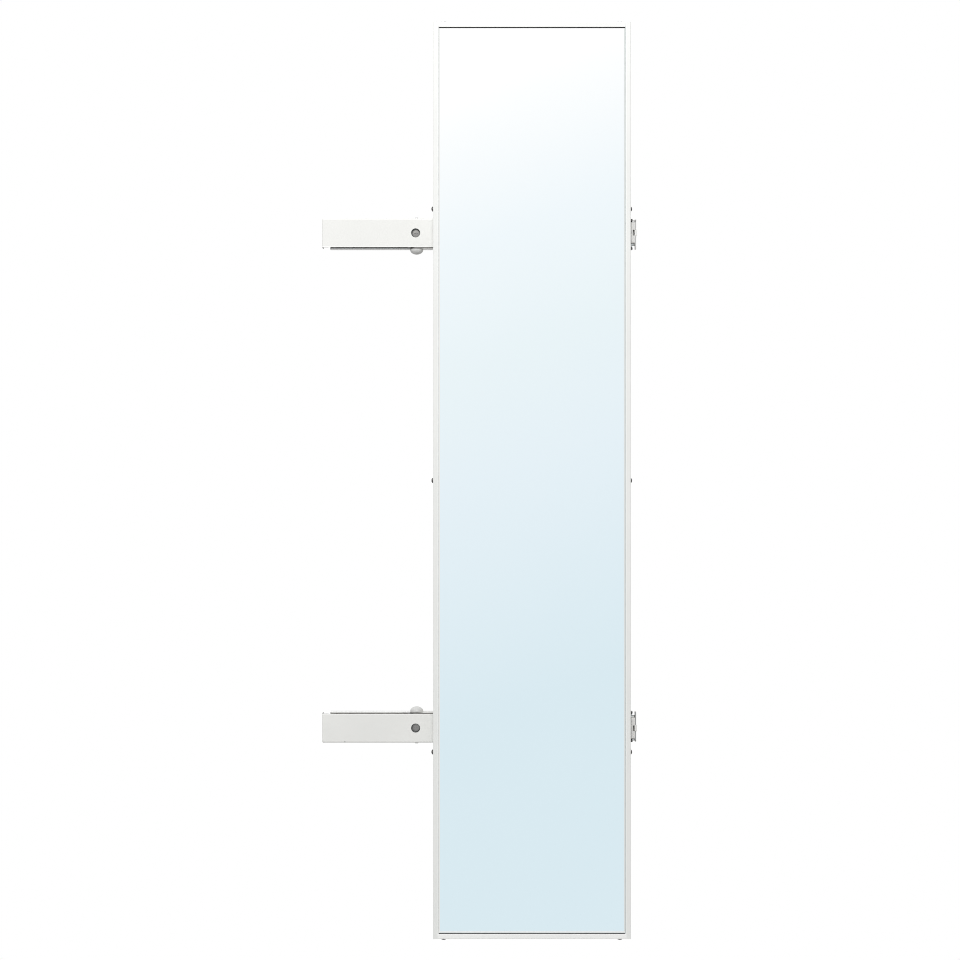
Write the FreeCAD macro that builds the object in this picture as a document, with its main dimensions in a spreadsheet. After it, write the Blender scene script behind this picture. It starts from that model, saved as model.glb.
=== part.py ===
import FreeCAD, Part
import math
import os
import Sketcher

# Pull out wardrobe mirror on two ball bearing slides, with a swing pivot.
#
# Frame: +X towards the back of the wardrobe, +Y into the wardrobe's side
# panel, +Z up. The side panel's face is Y = 0, and the origin is the centre of
# the four fixing holes in the outer rails. The mirror is shown stowed.
# The lower slide unit is the upper one mirrored in the plane Z = 0.

V = FreeCAD.Vector
ROT = FreeCAD.Rotation
doc = FreeCAD.newDocument("pull_out_mirror")
sheet = doc.addObject("Spreadsheet::Sheet", "dims")
ROW = [0]


class Q:
    """A number together with the sheet expression that gives it."""

    def __init__(self, text, value):
        self.t, self.v = text, value

    def _op(self, other, sign, swap=False):
        o = other if isinstance(other, Q) else Q(repr(float(other)), float(other))
        a, b = (o, self) if swap else (self, o)
        v = {"+": a.v + b.v, "-": a.v - b.v, "*": a.v * b.v}[sign] if sign != "/" else a.v / b.v
        return Q("(%s %s %s)" % (a.t, sign, b.t), v)

    def __add__(self, o):
        return self._op(o, "+")

    def __radd__(self, o):
        return self._op(o, "+", True)

    def __sub__(self, o):
        return self._op(o, "-")

    def __rsub__(self, o):
        return self._op(o, "-", True)

    def __mul__(self, o):
        return self._op(o, "*")

    def __rmul__(self, o):
        return self._op(o, "*", True)

    def __truediv__(self, o):
        return self._op(o, "/")

    def __neg__(self):
        return Q("(0 - %s)" % self.t, -self.v)


def dim(alias, value, note=""):
    ROW[0] += 1
    r = ROW[0]
    sheet.set("A%d" % r, alias)
    sheet.set("B%d" % r, "%g" % value)
    sheet.set("C%d" % r, note)
    sheet.setAlias("B%d" % r, alias)
    return Q("dims." + alias, float(value))


def num(x):
    return x.v if isinstance(x, Q) else float(x)


def bind(obj, prop, x):
    """Sets a property from a number or from the sheet."""
    if isinstance(x, Q):
        obj.setExpression(prop, x.t)


# ---------------------------------------------------------------- dimensions
slide_z = dim("slide_z", 368, "height of the upper slide's centre line")
hole_half = dim("fixing_hole_half_spacing", 176, "fixing holes, along the rail")
hole_r = dim("fixing_hole_radius", 3.25)

rail_front = dim("rail_front", -213)
rail_flange_back = dim("rail_flange_back", 238.7, "rear end of the outer rail's flanges")
rail_back = dim("rail_back", 244.2, "rear end of the outer rail's web")
rail_half = dim("rail_half_height", 22.85)
rail_deep = dim("rail_flange_depth", 12.1)
rail_t = dim("rail_sheet", 1.2)
rail_lip = dim("rail_lip_height", 2.95)
tab_t = dim("end_tab_thickness", 1.9)
tab_deep = dim("end_tab_depth", 10.0)

mid_front = dim("middle_front", -211.5)
mid_back = dim("middle_back", 235.8)
mid_half = dim("middle_half_height", 17.55)
mid_web = dim("middle_web_back", 2.8, "depth of the middle rail's web")
mid_edge = dim("middle_flange_edge", 11.9)
mid_lip = dim("middle_lip_height", 2.95)
mid_access = dim("middle_access_x", 52.5, "screwdriver hole, over the front fixing hole at full travel")
access_r = dim("middle_access_radius", 6)

inner_front = dim("inner_front", -213)
inner_back = dim("inner_back", 236.5)
inner_half = dim("inner_half_height", 13.25)
inner_face = dim("inner_face", 12.7, "depth of the slide unit")
inner_edge = dim("inner_flange_edge", 5.7)

cage_front = dim("cage_front", -92)
cage_back = dim("cage_back", 118)
cage_bar = dim("cage_bar", 12)
cage_mid = dim("cage_mid", 13)
ball_pitch = dim("ball_pitch", 17.4)
ocage_z = dim("outer_cage_z", 19.6, "height of the outer balls' centres")
oball_r = dim("outer_ball_radius", 1.75)
oball_y = dim("outer_ball_y", 7.0)
ocage_back = dim("outer_cage_back", 1.7)
ocage_web = dim("outer_cage_web", 0.6)
ocage_edge = dim("outer_cage_edge", 10.4)
icage_z = dim("inner_cage_z", 14.8, "height of the inner balls' centres")
iball_r = dim("inner_ball_radius", 1.25)
iball_y = dim("inner_ball_y", 8.0)
icage_back = dim("inner_cage_back", 4.5)
icage_edge = dim("inner_cage_edge", 10.2)
cage_half = dim("cage_strip_half", 0.4)

bump_front = dim("bumper_front", 236.9)
bump_back = dim("bumper_back", 242.3)
bump_half = dim("bumper_half_height", 15.7)
bump_off = dim("bumper_offset", 2.4, "bumper centre, away from the other slide")
bump_slot = dim("bumper_slot_half", 4.6)
hook_back = dim("bumper_hook_back", 245.5)
tab_low = dim("end_web_low", 16.5, "web at the end tab, towards the other slide")
tab_high = dim("end_web_high", 20.5, "web at the end tab, away from the other slide")

br_front = dim("bracket_front", -223.7)
br_back = dim("bracket_back", 76.3)
br_half = dim("bracket_half_height", 21.5)
br_low = dim("bracket_front_leg_low", 21.2)
br_tongue = dim("bracket_tongue_low", 21.9)
br_face = dim("bracket_face", 33, "depth of the bracket's front face")
br_t = dim("bracket_sheet", 1.5)
br_bend = dim("bracket_bend_radius", 2.2)
br_rear_low = dim("bracket_rear_leg_low", 17.5)
br_hole_x = dim("bracket_hole_x", -84.8)
br_hole_z = dim("bracket_hole_z", -0.3)
br_hole_r = dim("bracket_hole_radius", 6.75)
fs_off = dim("friction_screw_offset", 0.6, "friction screw, off the hole's centre towards the rear and the other slide")
fs_recess = dim("friction_screw_recess", 4.4)
notch_x = dim("relief_notch_x", -190.2)
notch_w = dim("relief_notch_width", 2.0)

piv_x = dim("pivot_x", -83.5)
piv_y = dim("pivot_y", -22.6)
pin_r = dim("pin_radius", 3.0)
pin_top = dim("pin_outer_end", 23.3)
pin_low = dim("pin_inner_end", -28.2)
bush_r = dim("bush_bore_radius", 3.05)
bush_or = dim("bush_outer_radius", 4.4)
bush_fl = dim("bush_flange_radius", 6.4)
block_x0 = dim("block_front", -97)
block_x1 = dim("block_back", -68)
block_low = dim("block_low", -20.95)
dome_r = dim("dome_radius", 9.7)
dome_top = dim("dome_top", -23.55)
dome_h = dim("dome_height", 8.1)

arm_up = dim("arm_plate_upper", -21.75)
arm_low = dim("arm_plate_lower", -23.25)
arm_r = dim("arm_end_radius", 9.5)
arm_back = dim("arm_flange_face", 33.5, "depth of the arm flange's rear face")
arm_x0 = dim("arm_flange_left", -56)
arm_x1 = dim("arm_flange_right", -6)
arm_top = dim("arm_flange_top", 50)

fr_left = dim("frame_left", -58.5)
fr_right = dim("frame_right", 233.5)
fr_half = dim("frame_half_height", 677)
fr_front = dim("frame_front", 53.5, "depth of the frame's front face")
fr_rear = dim("frame_rear", 35.5, "depth of the frame's rear face")
fr_face = dim("frame_face_width", 7.3)
fr_wall = dim("frame_wall", 1.4)
ledge = dim("ledge_width", 13)
ledge_f = dim("ledge_front", 45.3)
ledge_b = dim("ledge_back", 43.8)

glass_f = dim("glass_front", 52.3)
glass_t = dim("glass_thickness", 4)
side_gap = dim("side_gasket_width", 1.4)
bevel_w = dim("bevel_width", 1.3, "ground bevel along the glass pane's long sides")
bevel_d = dim("bevel_depth", 0.3)
end_gap = dim("end_gasket_width", 1.5)
tape_t = dim("tape_thickness", 1)

cross_z = dim("cross_rail_z", 402.3, "height of the upper cross rail")
cross_half = dim("cross_rail_half_height", 25)
cross_t = dim("cross_rail_sheet", 1.2)
screw_y = dim("frame_screw_y", -40)
top_screw_in = dim("top_screw_inset", 15.5, "top screws, in from the frame's sides")

ss_head = dim("side_screw_head_radius", 3.7)
ss_high = dim("side_screw_head_height", 2.85)
ts_head = dim("top_screw_head_radius", 3.6)
ts_high = dim("top_screw_head_height", 3.6)
sc_shank = dim("screw_shank_radius", 1.9)
doc.recompute()


# ------------------------------------------------------------------- helpers
def place(obj, x=0, y=0, z=0, rot=None):
    obj.Placement = FreeCAD.Placement(V(num(x), num(y), num(z)), rot or ROT())
    for axis, v in (("x", x), ("y", y), ("z", z)):
        bind(obj, "Placement.Base." + axis, v)
    return obj


def box(name, x0, x1, y0, y1, z0, z1):
    o = doc.addObject("Part::Box", name)
    for prop, a, b in (("Length", x0, x1), ("Width", y0, y1), ("Height", z0, z1)):
        d = (b if isinstance(b, Q) else Q(repr(float(b)), float(b))) - a
        setattr(o, prop, d.v)
        bind(o, prop, d)
    return place(o, x0, y0, z0)


def cyl(name, x, y, z, r, h, rot=None):
    o = doc.addObject("Part::Cylinder", name)
    o.Radius, o.Height = num(r), num(h)
    bind(o, "Radius", r)
    bind(o, "Height", h)
    return place(o, x, y, z, rot)


def cone(name, x, y, z, r1, r2, h, rot=None):
    o = doc.addObject("Part::Cone", name)
    o.Radius1, o.Radius2, o.Height = num(r1), num(r2), num(h)
    bind(o, "Radius1", r1)
    bind(o, "Radius2", r2)
    bind(o, "Height", h)
    return place(o, x, y, z, rot)


def sphere(name, x, y, z, r):
    o = doc.addObject("Part::Sphere", name)
    o.Radius = num(r)
    bind(o, "Radius", r)
    return place(o, x, y, z)


def fuse(name, shapes):
    o = doc.addObject("Part::MultiFuse", name)
    o.Shapes = shapes
    o.Refine = True
    return o


def cut(name, base, tools):
    tool = tools[0] if len(tools) == 1 else fuse(name + "_tools", tools)
    o = doc.addObject("Part::Cut", name)
    o.Base, o.Tool = base, tool
    o.Refine = True
    return o


def common(name, a, b):
    o = doc.addObject("Part::Common", name)
    o.Base, o.Tool = a, b
    return o


def group(name, items):
    o = doc.addObject("Part::Compound", name)
    o.Links = items
    return o


def mirrored(name, source, normal=(0, 0, 1), base_x=None):
    o = doc.addObject("Part::Mirroring", name)
    o.Source = source
    o.Normal = V(*normal)
    if base_x is not None:
        o.Base = V(num(base_x), 0, 0)
        bind(o, "Base.x", base_x)
    return o


def body(name):
    return doc.addObject("PartDesign::Body", name)


def origin_plane(b, role):
    return [o for o in b.Origin.OriginFeatures if o.Role == role][0]


def sketch(b, name, role, loops, offset=None):
    """A fully located sketch. Loops are ("poly", [(u, v), ...]) or ("circle", u, v, r)."""
    sk = b.newObject("Sketcher::SketchObject", name)
    sk.AttachmentSupport = [(origin_plane(b, role), "")]
    sk.MapMode = "FlatFace"
    if offset is not None:
        sk.AttachmentOffset = FreeCAD.Placement(V(0, 0, num(offset)), ROT())
        bind(sk, "AttachmentOffset.Base.z", offset)
    geo, exprs = 0, []

    def con(kind, *args):
        value = args[-1]
        i = sk.addConstraint(Sketcher.Constraint(kind, *args[:-1], num(value)))
        if isinstance(value, Q):
            exprs.append((i, value.t))

    for loop in loops:
        if loop[0] == "circle":
            u, v, r = loop[1:]
            sk.addGeometry(Part.Circle(V(num(u), num(v), 0), V(0, 0, 1), num(r)))
            con("DistanceX", -1, 1, geo, 3, u)
            con("DistanceY", -1, 1, geo, 3, v)
            con("Radius", geo, r)
            geo += 1
            continue
        pts = loop[1]
        n = len(pts)
        for i in range(n):
            a, c = pts[i], pts[(i + 1) % n]
            sk.addGeometry(Part.LineSegment(V(num(a[0]), num(a[1]), 0), V(num(c[0]), num(c[1]), 0)))
        for i in range(n):
            sk.addConstraint(Sketcher.Constraint("Coincident", geo + i, 2, geo + (i + 1) % n, 1))
            con("DistanceX", -1, 1, geo + i, 1, pts[i][0])
            con("DistanceY", -1, 1, geo + i, 1, pts[i][1])
        geo += n
    for i, t in exprs:
        sk.setExpression("Constraints[%d]" % i, t)
    return sk


def rect(u0, u1, v0, v1):
    return ("poly", [(u0, v0), (u1, v0), (u1, v1), (u0, v1)])


def pad(b, name, role, loops, length, offset=None, symmetric=False, reverse=False):
    sk = sketch(b, name + "_sketch", role, loops, offset)
    f = b.newObject("PartDesign::Pad", name)
    f.Profile = sk
    f.Length = num(length)
    bind(f, "Length", length)
    f.SideType = "Symmetric" if symmetric else "One side"
    f.Reversed = reverse
    doc.recompute()
    return f


def pocket(b, name, role, loops, length=None, offset=None, reverse=False):
    """A pocket through everything, or of one length; fails if it removes nothing."""
    before = b.Shape.Volume
    sk = sketch(b, name + "_sketch", role, loops, offset)
    f = b.newObject("PartDesign::Pocket", name)
    f.Profile = sk
    if length is None:
        f.Type = "ThroughAll"
        f.SideType = "Symmetric"
    else:
        f.Type = "Length"
        f.SideType = "One side"
        f.Length = num(length)
        bind(f, "Length", length)
        f.Reversed = reverse
    doc.recompute()
    if not b.Shape.Volume < before - 0.01:
        raise RuntimeError("pocket %s of %s cut nothing" % (name, b.Label))
    return f


def edges_at(shape, axis, tests):
    """Names of straight edges along an axis ("x", "y" or "z") that pass through given points."""
    names = []
    i = "xyz".index(axis)
    others = [j for j in range(3) if j != i]
    for n, e in enumerate(shape.Edges):
        if len(e.Vertexes) != 2:
            continue
        a, c = e.Vertexes[0].Point, e.Vertexes[1].Point
        d = c - a
        if abs(d[others[0]]) > 1e-4 or abs(d[others[1]]) > 1e-4 or abs(d[i]) < 1e-3:
            continue
        for t in tests:
            if all(abs(a[j] - num(t[k])) < 0.02 for k, j in enumerate(others)):
                names.append("Edge%d" % (n + 1))
    return names


def fillet(b, name, axis, tests, radius):
    tip = b.Tip
    names = edges_at(tip.Shape, axis, tests)
    if len(names) < len(tests):
        raise RuntimeError("fillet %s of %s found %d edges" % (name, b.Label, len(names)))
    f = b.newObject("PartDesign::Fillet", name)
    f.Base = (tip, names)
    f.Radius = num(radius)
    bind(f, "Radius", radius)
    doc.recompute()
    return f


def pan_screw(name, x, y, z, rot, head_r, head_h, shank_r, shank_l, slot=None, domed=0.6):
    """A domed pan head with a cross recess, head up along local +Z, underside at the point."""
    r, h = num(head_r), num(head_h)
    cap = domed * h
    big = (r * r + cap * cap) / (2 * cap)
    head = cyl(name + "_rim", 0, 0, 0, head_r, head_h)
    ball = sphere(name + "_ball", 0, 0, h - big, big)
    dome = common(name + "_dome", head, ball)
    shank = cyl(name + "_shank", 0, 0, -num(shank_l), shank_r, num(shank_l) + 0.1 * h)
    whole = fuse(name + "_whole", [dome, shank])
    w = slot or 0.16 * r
    a = box(name + "_slot_a", -0.52 * r, 0.52 * r, -w / 2, w / 2, 0.45 * h, 2 * h)
    c = box(name + "_slot_b", -w / 2, w / 2, -0.52 * r, 0.52 * r, 0.45 * h, 2 * h)
    o = cut(name, whole, [a, c])
    return place(o, x, y, z, rot)


TO_MINUS_Y = ROT(V(1, 0, 0), 90)     # local +Z points to -Y
TO_PLUS_Y = ROT(V(1, 0, 0), -90)     # local +Z points to +Y
TO_MINUS_X = ROT(V(0, 1, 0), -90)    # local +Z points to -X
TO_PLUS_X = ROT(V(0, 1, 0), 90)      # local +Z points to +X
NODES = []


def node(obj):
    NODES.append(obj)
    return obj


def both(obj, lower_name):
    """Keeps the upper piece and makes its mirror image for the lower slide."""
    node(obj)
    node(mirrored(lower_name, obj))
    return obj


# ------------------------------------------------------------ upper slide unit
# Outer rail: a rolled channel, its web against the side panel, lips inward,
# with a bent-up end tab at the rear that carries the bumper.
b = body("upper_outer_rail")
R, T, D, L = rail_half, rail_t, rail_deep, rail_lip
pad(b, "channel", "YZ_Plane", [("poly", [
    (0, -R), (0, R), (-D, R), (-D, R - L), (T - D, R - L), (T - D, R - T), (-T, R - T),
    (-T, T - R), (T - D, T - R), (T - D, L - R), (-D, L - R), (-D, -R)])],
    rail_back - rail_front, offset=rail_front)
pocket(b, "rear_relief", "XZ_Plane", [
    rect(rail_flange_back, rail_back + 5, tab_high, R + 5),
    rect(rail_flange_back, rail_back + 5, -R - 5, -tab_low)])
pad(b, "end_tab", "XZ_Plane", [rect(rail_back - tab_t, rail_back, 0.6 - R, R - 0.6)], tab_deep)
pocket(b, "hook_notch", "YZ_Plane", [rect(-tab_deep - 1, -3.6, bump_off - bump_slot - 0.2, bump_off + bump_slot + 0.2)],
       length=4, offset=rail_back + 2)
pocket(b, "fixing_holes", "XZ_Plane", [
    ("circle", -hole_half, 0, hole_r), ("circle", hole_half, 0, hole_r)])
fillet(b, "outer_bends", "x", [(0, R), (0, -R), (-D, R), (-D, -R)], 1.1)
place(b, 0, 0, slide_z)
both(b, "lower_outer_rail")

# Middle rail.
b = body("upper_middle_rail")
R, W, E, L = mid_half, mid_web, mid_edge, mid_lip
pad(b, "channel", "YZ_Plane", [("poly", [
    (-W, -R), (-W, R), (-E, R), (-E, R - L), (T - E, R - L), (T - E, R - T), (-W - T, R - T),
    (-W - T, T - R), (T - E, T - R), (T - E, L - R), (-E, L - R), (-E, -R)])],
    mid_back - mid_front, offset=mid_front)
pocket(b, "access_hole", "XZ_Plane", [("circle", mid_access, 0, access_r)])
fillet(b, "outer_bends", "x", [(-W, R), (-W, -R), (-E, R), (-E, -R)], 0.9)
place(b, 0, 0, slide_z)
both(b, "lower_middle_rail")

# Inner rail: its web is the face that the bracket is bolted to.
bracket_screw_x = [-200, -130, -20, 55]
b = body("upper_inner_rail")
R, F, E = inner_half, inner_face, inner_edge
pad(b, "channel", "YZ_Plane", [("poly", [
    (-F, -R), (-F, R), (-E, R), (-E, R - T), (T - F, R - T), (T - F, T - R), (-E, T - R), (-E, -R)])],
    inner_back - inner_front, offset=inner_front)
pocket(b, "screw_holes", "XZ_Plane", [("circle", x, 0, 2.05) for x in bracket_screw_x])
fillet(b, "outer_bends", "x", [(-F, R), (-F, -R)], 0.9)
place(b, 0, 0, slide_z)
both(b, "lower_inner_rail")


# Ball cages: a strip above and a strip below with a seat for each ball,
# joined by three cross bars. Twelve balls in each strip.
def ball_cage(name, zc, back, edge, by, br):
    b = body(name)
    h, w = cage_half, ocage_web
    pad(b, "channel", "YZ_Plane", [("poly", [
        (-back, -zc - h), (-back, zc + h), (-edge, zc + h), (-edge, zc - h), (-back - w, zc - h),
        (-back - w, h - zc), (-edge, h - zc), (-edge, -zc - h)])],
        cage_back - cage_front, offset=cage_front)
    side = cage_bar / 2
    pocket(b, "windows", "XZ_Plane", [
        rect(cage_front + cage_bar, cage_mid - side, h + 1.5 - zc, zc - h - 1.5),
        rect(cage_mid + side, cage_back - cage_bar, h + 1.5 - zc, zc - h - 1.5)])
    pocket(b, "ball_seats", "XY_Plane",
           [("circle", cage_mid + (i - 5.5) * ball_pitch, -by, br + 0.05) for i in range(12)])
    place(b, 0, 0, slide_z)
    return b


def balls(name, zc, by, br):
    items = []
    for i in range(12):
        for s in (1, -1):
            items.append(sphere("%s_%d%s" % (name, i, "ab"[s < 0]),
                                cage_mid + (i - 5.5) * ball_pitch, -by, slide_z + s * zc, br))
    return group(name, items)


both(ball_cage("upper_outer_ball_cage", ocage_z, ocage_back, ocage_edge, oball_y, oball_r),
     "lower_outer_ball_cage")
both(balls("upper_outer_balls", ocage_z, oball_y, oball_r), "lower_outer_balls")
both(ball_cage("upper_inner_ball_cage", icage_z, icage_back, icage_edge, iball_y, iball_r),
     "lower_inner_ball_cage")
both(balls("upper_inner_balls", icage_z, iball_y, iball_r), "lower_inner_balls")

# Rail bumper: moulded stop between the moving rails and the end tab, held by
# a hook through the tab.
b = body("upper_rail_bumper")
up, down = bump_off + bump_half, bump_off - bump_half
pad(b, "pad_block", "YZ_Plane", [rect(-10.9, -1.3, down, up)], bump_back - bump_front, offset=bump_front)
fillet(b, "rounded_ends", "x", [(-10.9, up), (-10.9, down)], 2.0)
pad(b, "hook_neck", "YZ_Plane", [rect(-10.3, -3.8, bump_off - bump_slot, bump_off + bump_slot)],
    hook_back - bump_back + 1, offset=bump_back - 1)
fillet(b, "hook_nose", "z", [(hook_back, -10.3), (hook_back, -3.8)], 0.7)
pocket(b, "slot", "XZ_Plane", [
    rect(bump_back - 3.1, bump_back - 0.5, bump_off - bump_slot + 0.3, bump_off + bump_slot - 0.3)],
    length=6, offset=11.5)
place(b, 0, 0, slide_z)
both(b, "lower_rail_bumper")

# Carrier bracket: a folded channel, open towards the mirror's middle, with a
# bent front end and a screwdriver hole.
b = body("upper_carrier_bracket")
H, F, T2, G = br_half, br_face, br_t, inner_face
pad(b, "channel", "YZ_Plane", [("poly", [
    (-F, -br_tongue), (-F, H), (-G, H), (-G, -br_rear_low), (-G - T2, -br_rear_low), (-G - T2, H - T2),
    (T2 - F, H - T2), (T2 - F, -br_tongue)])],
    br_back - br_front, offset=br_front)
pad(b, "front_end", "YZ_Plane", [rect(-F, -G - 0.1, -br_tongue, H)], br_t, offset=br_front)
fillet(b, "outer_bends", "x", [(-F, H), (-G, H)], br_bend)
fillet(b, "inner_bends", "x", [(T2 - F, H - T2), (-G - T2, H - T2)], 0.7)
fillet(b, "front_bend", "z", [(br_front, -F)], 2.0)
pocket(b, "lower_edge", "XZ_Plane", [("poly", [
    (-213.8, -br_low), (br_back + 1, -br_low), (br_back + 1, -br_tongue - 1),
    (-214.5, -br_tongue - 1), (-214.5, -br_tongue)])], length=4, offset=F + 1)
pocket(b, "access_hole", "XZ_Plane", [("circle", br_hole_x, br_hole_z, br_hole_r)], length=4, offset=F + 1)
pocket(b, "rail_screw_holes", "XZ_Plane", [("circle", x, 0, 2.05) for x in bracket_screw_x],
       length=4, offset=G + 3)
pocket(b, "block_screw_holes", "XZ_Plane",
       [("circle", -92.5, 7, 2.1), ("circle", -72.5, -7, 2.1)], length=4, offset=G + 3)
tip = b.Tip
names = []
for n, e in enumerate(tip.Shape.Edges):
    if e.Curve.TypeId == "Part::GeomCircle" and abs(e.Curve.Radius - 2.1) < 1e-4 and abs(e.Curve.Center.y + num(G)) < 1e-3:
        names.append("Edge%d" % (n + 1))
if len(names) != 2:
    raise RuntimeError("countersinks found %d edges" % len(names))
f = b.newObject("PartDesign::Chamfer", "countersinks")
f.Base = (tip, names)
f.Size = 1.4
doc.recompute()
pocket(b, "pin_hole", "XY_Plane", [("circle", piv_x, piv_y, pin_r + 0.1)])
place(b, 0, 0, slide_z)
node(b)
# The lower bracket is told from the upper one by a small notch in its bend.
notch = box("index_notch", notch_x - notch_w / 2, notch_x + notch_w / 2, -F - 1, 2.3 - F,
            -slide_z - H - 1, 2.1 - slide_z - H)
node(cut("lower_carrier_bracket", mirrored("lower_bracket_blank", b), [notch]))

# Bracket to inner rail: low head screws from inside the rail, nuts in the channel.
screws, nuts = [], []
for i, x in enumerate(bracket_screw_x):
    screws.append(pan_screw("upper_bracket_screw_%d" % i, x, 1.2 - inner_face, slide_z, TO_PLUS_Y,
                            3.9, 1.7, 2.0, 6.4))
    hexa = doc.addObject("Part::Prism", "upper_bracket_nut_%d_blank" % i)
    hexa.Polygon, hexa.Circumradius, hexa.Height = 6, 4.04, 3.0
    nut = cut("upper_bracket_nut_%d" % i, hexa, [cyl("upper_bracket_nut_%d_bore" % i, 0, 0, -1, 2.0, 6)])
    nuts.append(place(nut, x, -inner_face - br_t, slide_z, TO_MINUS_Y))
both(group("upper_bracket_screws", screws), "lower_bracket_screws")
both(group("upper_bracket_nuts", nuts), "lower_bracket_nuts")

# Pivot block: a zinc casting that fills the channel and holds the pivot pin.
b = body("upper_pivot_block")
pad(b, "block", "XY_Plane", [rect(block_x0, block_x1, -31.4, -inner_face - br_t)],
    br_half - br_t - block_low, offset=block_low)
fillet(b, "corners", "z", [(block_x0, -31.4), (block_x1, -31.4)], 2.0)
fillet(b, "top_edges", "x", [(-inner_face - br_t, br_half - br_t)], 0.9)
pocket(b, "pin_bore", "XY_Plane", [("circle", piv_x, piv_y, pin_r)])
pocket(b, "set_screw_bore", "XZ_Plane", [("circle", br_hole_x + fs_off, br_hole_z - fs_off, 5.7)], length=6.8, offset=32.4)
pocket(b, "recess", "XZ_Plane", [("circle", br_hole_x, br_hole_z, 6.65)], length=fs_recess, offset=32.4)
pocket(b, "block_screw_bores", "XZ_Plane",
       [("circle", -92.5, 7, 2.0), ("circle", -72.5, -7, 2.0)], length=11, offset=24)
place(b, 0, 0, slide_z)
both(b, "lower_pivot_block")

items = []
for i, (x, z) in enumerate(((-92.5, 7), (-72.5, -7))):
    shank = cyl("upper_block_shank_%d" % i, 0, 0, -10.5, 2.0, 10.5 - 1.3)
    head = cone("upper_block_head_%d" % i, 0, 0, -1.4, 2.0, 3.5, 1.4)
    slot = box("upper_block_slot_%d" % i, -2.2, 2.2, -0.4, 0.4, -0.7, 1)
    s = cut("upper_block_screw_%d" % i, fuse("upper_block_whole_%d" % i, [shank, head]), [slot])
    items.append(place(s, x, -inner_face, slide_z + z, TO_PLUS_Y))
both(group("upper_block_screws", items), "lower_block_screws")

# Friction screw: clamps the pin from the front, reached through the round hole.
both(pan_screw("upper_friction_screw", br_hole_x + fs_off, -27.6, slide_z + br_hole_z - fs_off, TO_MINUS_Y,
               5.6, 1.5, 3.0, 1.9, domed=0.3), "lower_friction_screw")

# Pivot pin, rounded at its outer end.
pin = cyl("upper_pin_rod", 0, 0, pin_low, pin_r, pin_top - pin_low - 1.2)
tip = cone("upper_pin_tip", 0, 0, pin_top - 1.2, pin_r, pin_r - 0.7, 1.2)
both(place(fuse("upper_pivot_pin", [pin, tip]), piv_x, piv_y, slide_z), "lower_pivot_pin")

# Dome cap: a moulded bearing cap pressed on the pin's inner end.
b = body("upper_dome_cap")
half = []
steps = 14
for i in range(steps + 1):
    a = math.pi / 2 * i / steps
    half.append((dome_r * math.cos(a) if i < steps else 0, dome_top - 1.2 - (dome_h - 1.2) * math.sin(a)))
sk = sketch(b, "profile", "XZ_Plane", [("poly", [(0, dome_top), (dome_r - 0.4, dome_top), (dome_r, dome_top - 0.4)] + half)])
rev = b.newObject("PartDesign::Revolution", "dome")
rev.Profile = sk
rev.ReferenceAxis = (sk, ["V_Axis"])
rev.Angle = 360
doc.recompute()
pocket(b, "pin_socket", "XY_Plane", [("circle", 0, 0, pin_r)], length=(dome_top - pin_low), offset=pin_low, reverse=True)
place(b, piv_x, piv_y, slide_z)
both(b, "lower_dome_cap")

# Flanged bush in the hinge arm, running on the pin.
b = body("upper_pivot_bush")
pad(b, "tube", "XY_Plane", [("circle", 0, 0, bush_or), ("circle", 0, 0, bush_r)], arm_up - arm_low, offset=arm_low)
pad(b, "flange", "XY_Plane", [("circle", 0, 0, bush_fl), ("circle", 0, 0, bush_r)], 0.5, offset=arm_up)
place(b, piv_x, piv_y, slide_z)
both(b, "lower_pivot_bush")

# Hinge arm: a plate under the open side of the bracket, folded up behind the
# mirror frame and bolted to its cross rail.
b = body("upper_hinge_arm")
top_y = piv_y + arm_r
front_y = piv_y - arm_r
pad(b, "plate", "XY_Plane", [("poly", [
    (piv_x, front_y), (arm_x0 - 4, front_y), (arm_x0, -fr_rear), (arm_x1, -fr_rear),
    (arm_x1, -arm_back), (arm_x1 - 14, -arm_back), (piv_x + 12, top_y - 1.2), (piv_x, top_y)])],
    arm_up - arm_low, offset=arm_low)
pad(b, "eye", "XY_Plane", [("circle", piv_x, piv_y, arm_r)], arm_up - arm_low, offset=arm_low)
pad(b, "flange", "XZ_Plane", [rect(arm_x0, arm_x1, arm_low, arm_top)], fr_rear - arm_back, offset=arm_back)
pocket(b, "bush_hole", "XY_Plane", [("circle", piv_x, piv_y, bush_or)])
arm_screw_at = [(-42, 32), (-16, 32), (-42, 44), (-16, 44)]
pocket(b, "screw_holes", "XZ_Plane", [("circle", x, z, 2.1) for x, z in arm_screw_at], length=6, offset=fr_rear + 2)
fillet(b, "corners", "y", [(arm_x0, arm_top), (arm_x1, arm_top)], 4)
place(b, 0, 0, slide_z)
both(b, "lower_hinge_arm")

items = []
for i, (x, z) in enumerate(arm_screw_at):
    items.append(pan_screw("upper_arm_screw_%d" % i, x, -arm_back, slide_z + z, TO_PLUS_Y, 3.4, 1.7, 2.0, 6.0))
both(group("upper_arm_screws", items), "lower_arm_screws")

# ---------------------------------------------------------------- mirror frame
W, A, B = fr_wall, fr_front, fr_rear
inner_l = fr_left + fr_face
inner_r = fr_right - fr_face
end_z = fr_half - fr_face
mid_x = (fr_left + fr_right) / 2

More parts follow.
